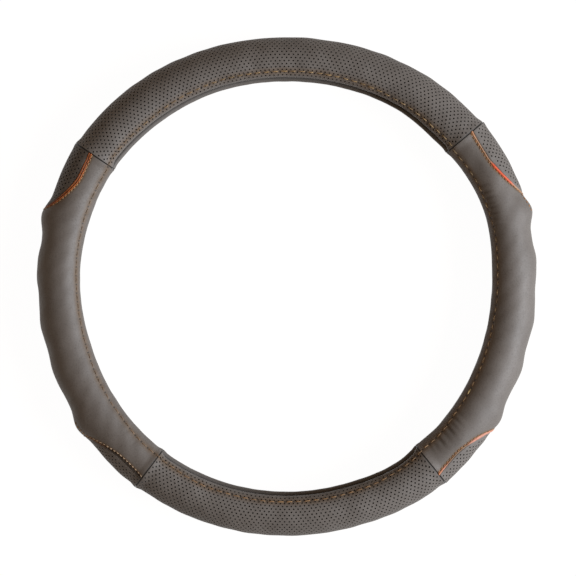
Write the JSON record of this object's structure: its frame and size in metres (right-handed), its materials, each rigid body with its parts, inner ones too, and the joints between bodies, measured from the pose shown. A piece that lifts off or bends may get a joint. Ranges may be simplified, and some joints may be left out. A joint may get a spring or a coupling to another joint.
{
  "type": "steering wheel cover",
  "caption": "Sewn leather cover on a moulded rubber ring with a C-shaped section, which snaps over the rim of a car's steering wheel.",
  "frame": {"origin": "centre of the ring, on the plane that the cover lies on", "axes": "+Z along the ring's axis, out of the side that faces the driver; +Y towards the top of the wheel; +X to the driver's right"},
  "size_m": [0.3844, 0.3831, 0.039],
  "materials": {
    "smooth_leather": "warm grey-brown leather with a fine grain and a soft satin gloss",
    "perforated_leather": "warm grey-brown leather with staggered rows of small round holes",
    "piping_leather": "orange-red leather piping, satin",
    "rubber": "matt black moulded rubber with fine ribs",
    "thread": "amber polyester thread, twisted, with a soft sheen"
  },
  "bodies": {
    "root": {"rubber_ring": "rubber", "top_panel": "perforated_leather", "bottom_panel": "perforated_leather", "left_grip": "smooth_leather", "right_grip": "smooth_leather", "upper_right_insert": "perforated_leather", "upper_left_insert": "perforated_leather", "lower_left_insert": "perforated_leather", "lower_right_insert": "perforated_leather", "upper_right_piping": "piping_leather", "upper_left_piping": "piping_leather", "lower_left_piping": "piping_leather", "lower_right_piping": "piping_leather"}
  },
  "joints": []
}
